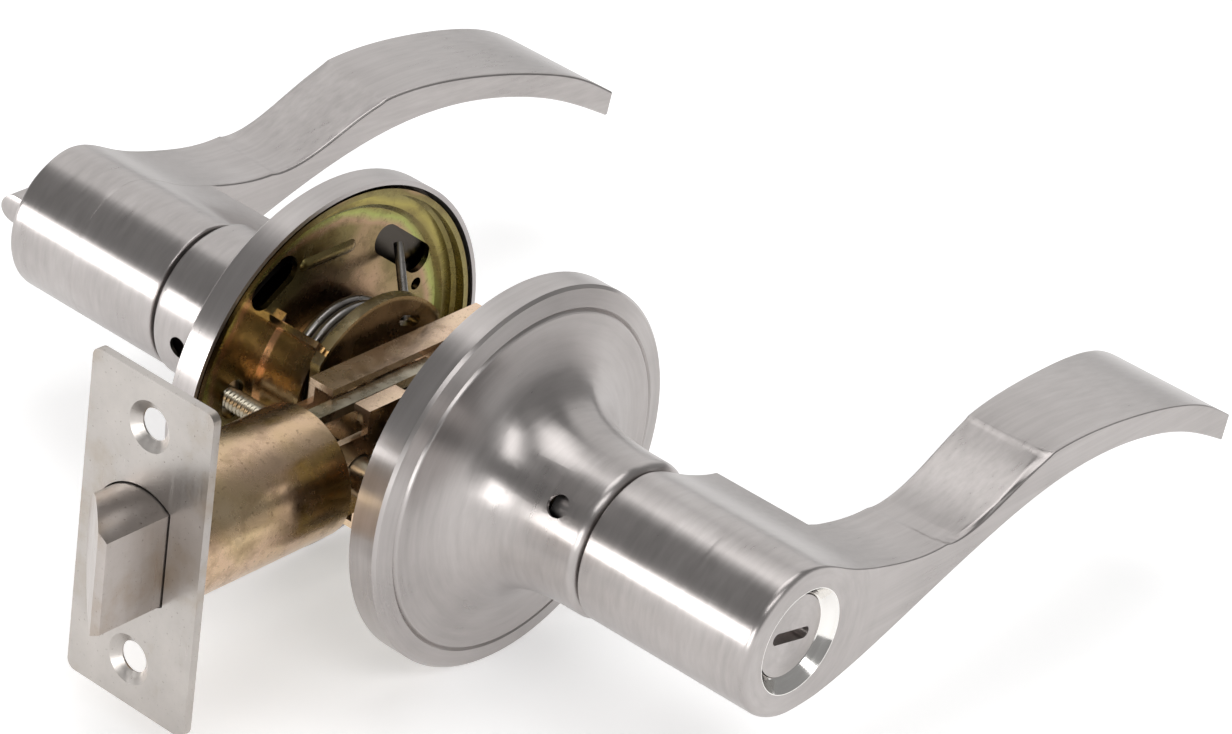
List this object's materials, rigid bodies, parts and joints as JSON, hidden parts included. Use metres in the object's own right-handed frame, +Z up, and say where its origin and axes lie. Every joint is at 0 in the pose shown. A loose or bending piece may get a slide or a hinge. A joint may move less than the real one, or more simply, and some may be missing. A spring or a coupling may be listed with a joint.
{
  "type": "door lever handle set",
  "caption": "Tubular privacy lever set: wavy satin levers on round roses, sprung latch bolt in a round tube, turn button inside and coin release outside.",
  "frame": {"origin": "where the spindle axis crosses the latch axis, in the middle of the door's thickness", "axes": "+Y along the spindle towards the inside lever, -X along the latch towards the bolt, +Z up; both levers point to +X"},
  "size_m": [0.184, 0.1674, 0.0654],
  "materials": {
    "satin_nickel": "satin brushed, warm grey",
    "bright_nickel": "polished",
    "bolt_nickel": "satin, faint warm tint",
    "yellow_zinc": "yellow chromate zinc plating, iridescent",
    "spring_steel": "dark oiled spring steel",
    "dark_zinc": "dark zinc plating with a bright rim",
    "bright_zinc": "bare bright zinc plating"
  },
  "bodies": {
    "chassis": {"outside_rose": "satin_nickel", "outside_liner": "yellow_zinc", "outside_spring_bracket": "yellow_zinc", "outside_torsion_spring": "spring_steel", "inside_rose": "satin_nickel", "inside_liner": "yellow_zinc", "inside_spring_bracket": "yellow_zinc", "inside_torsion_spring": "spring_steel", "mounting_posts": "bright_zinc", "mounting_screws": "bright_zinc", "face_plate": "satin_nickel", "back_plate": "yellow_zinc", "latch_tube": "yellow_zinc", "latch_spring": "spring_steel", "rear_bushing": "yellow_zinc", "case_plate_inside": "yellow_zinc", "case_plate_outside": "yellow_zinc", "case_rivets": "bright_zinc"},
    "inside_handle": {"inside_lever": "satin_nickel", "inside_drive_sleeve": "dark_zinc", "inside_drive_plate": "dark_zinc", "inside_retaining_ring": "spring_steel", "button_bushing": "bright_nickel"},
    "outside_handle": {"outside_lever": "satin_nickel", "outside_drive_sleeve": "dark_zinc", "outside_drive_plate": "dark_zinc", "outside_retaining_ring": "spring_steel", "release_bushing": "bright_nickel"},
    "spindle": {"spindle": "bright_zinc", "cam_hub": "bright_zinc"},
    "bolt": {"latch_bolt": "bolt_nickel", "retractor_tail": "bright_zinc"},
    "turn_button": {"turn_button": "bright_nickel", "locking_bar": "bright_zinc"},
    "release": {"release_insert": "bright_nickel"},
    "inside_catch": {"inside_lever_catch": "spring_steel"},
    "outside_catch": {"outside_lever_catch": "spring_steel"}
  },
  "joints": [
    {"name": "inside_lever_turn", "type": "hinge", "parent": "chassis", "child": "inside_handle", "pos_m": [0, 0, 0], "axis": [0, 1, 0], "range_deg": [0, 45], "stiffness_Nm_per_rad": 0.9, "springref_deg": -20.05, "deforming": ["inside_torsion_spring"]},
    {"name": "outside_lever_turn", "type": "hinge", "parent": "chassis", "child": "outside_handle", "pos_m": [0, 0, 0], "axis": [0, 1, 0], "range_deg": [0, 45], "deforming": ["outside_torsion_spring"]},
    {"name": "spindle_turn", "type": "hinge", "parent": "chassis", "child": "spindle", "pos_m": [0, 0, 0], "axis": [0, 1, 0], "range_deg": [0, 45]},
    {"name": "bolt_slide", "type": "slide", "parent": "chassis", "child": "bolt", "axis": [1, 0, 0], "range_m": [0, 0.0127], "deforming": ["latch_spring"]},
    {"name": "turn_button_turn", "type": "hinge", "parent": "inside_handle", "child": "turn_button", "pos_m": [0, 0, 0], "axis": [0, 1, 0], "range_deg": [0, 90]},
    {"name": "release_turn", "type": "hinge", "parent": "outside_handle", "child": "release", "pos_m": [0, 0, 0], "axis": [0, 1, 0], "range_deg": [0, 90]},
    {"name": "inside_catch_press", "type": "slide", "parent": "inside_handle", "child": "inside_catch", "axis": [0.9925, 0, 0.1219], "range_m": [0, 0.0018], "stiffness_N_per_m": 900, "springref_m": -0.001},
    {"name": "outside_catch_press", "type": "slide", "parent": "outside_handle", "child": "outside_catch", "axis": [0.8192, 0, -0.5736], "range_m": [0, 0.0018], "stiffness_N_per_m": 900, "springref_m": -0.001}
  ],
  "couplings": [
    {"joint": "outside_lever_turn", "follows": "inside_lever_turn", "ratio": 1},
    {"joint": "spindle_turn", "follows": "inside_lever_turn", "ratio": 1},
    {"joint": "bolt_slide", "follows": "inside_lever_turn", "m_per_rad": 0.01617},
    {"joint": "release_turn", "follows": "turn_button_turn", "ratio": 1}
  ]
}
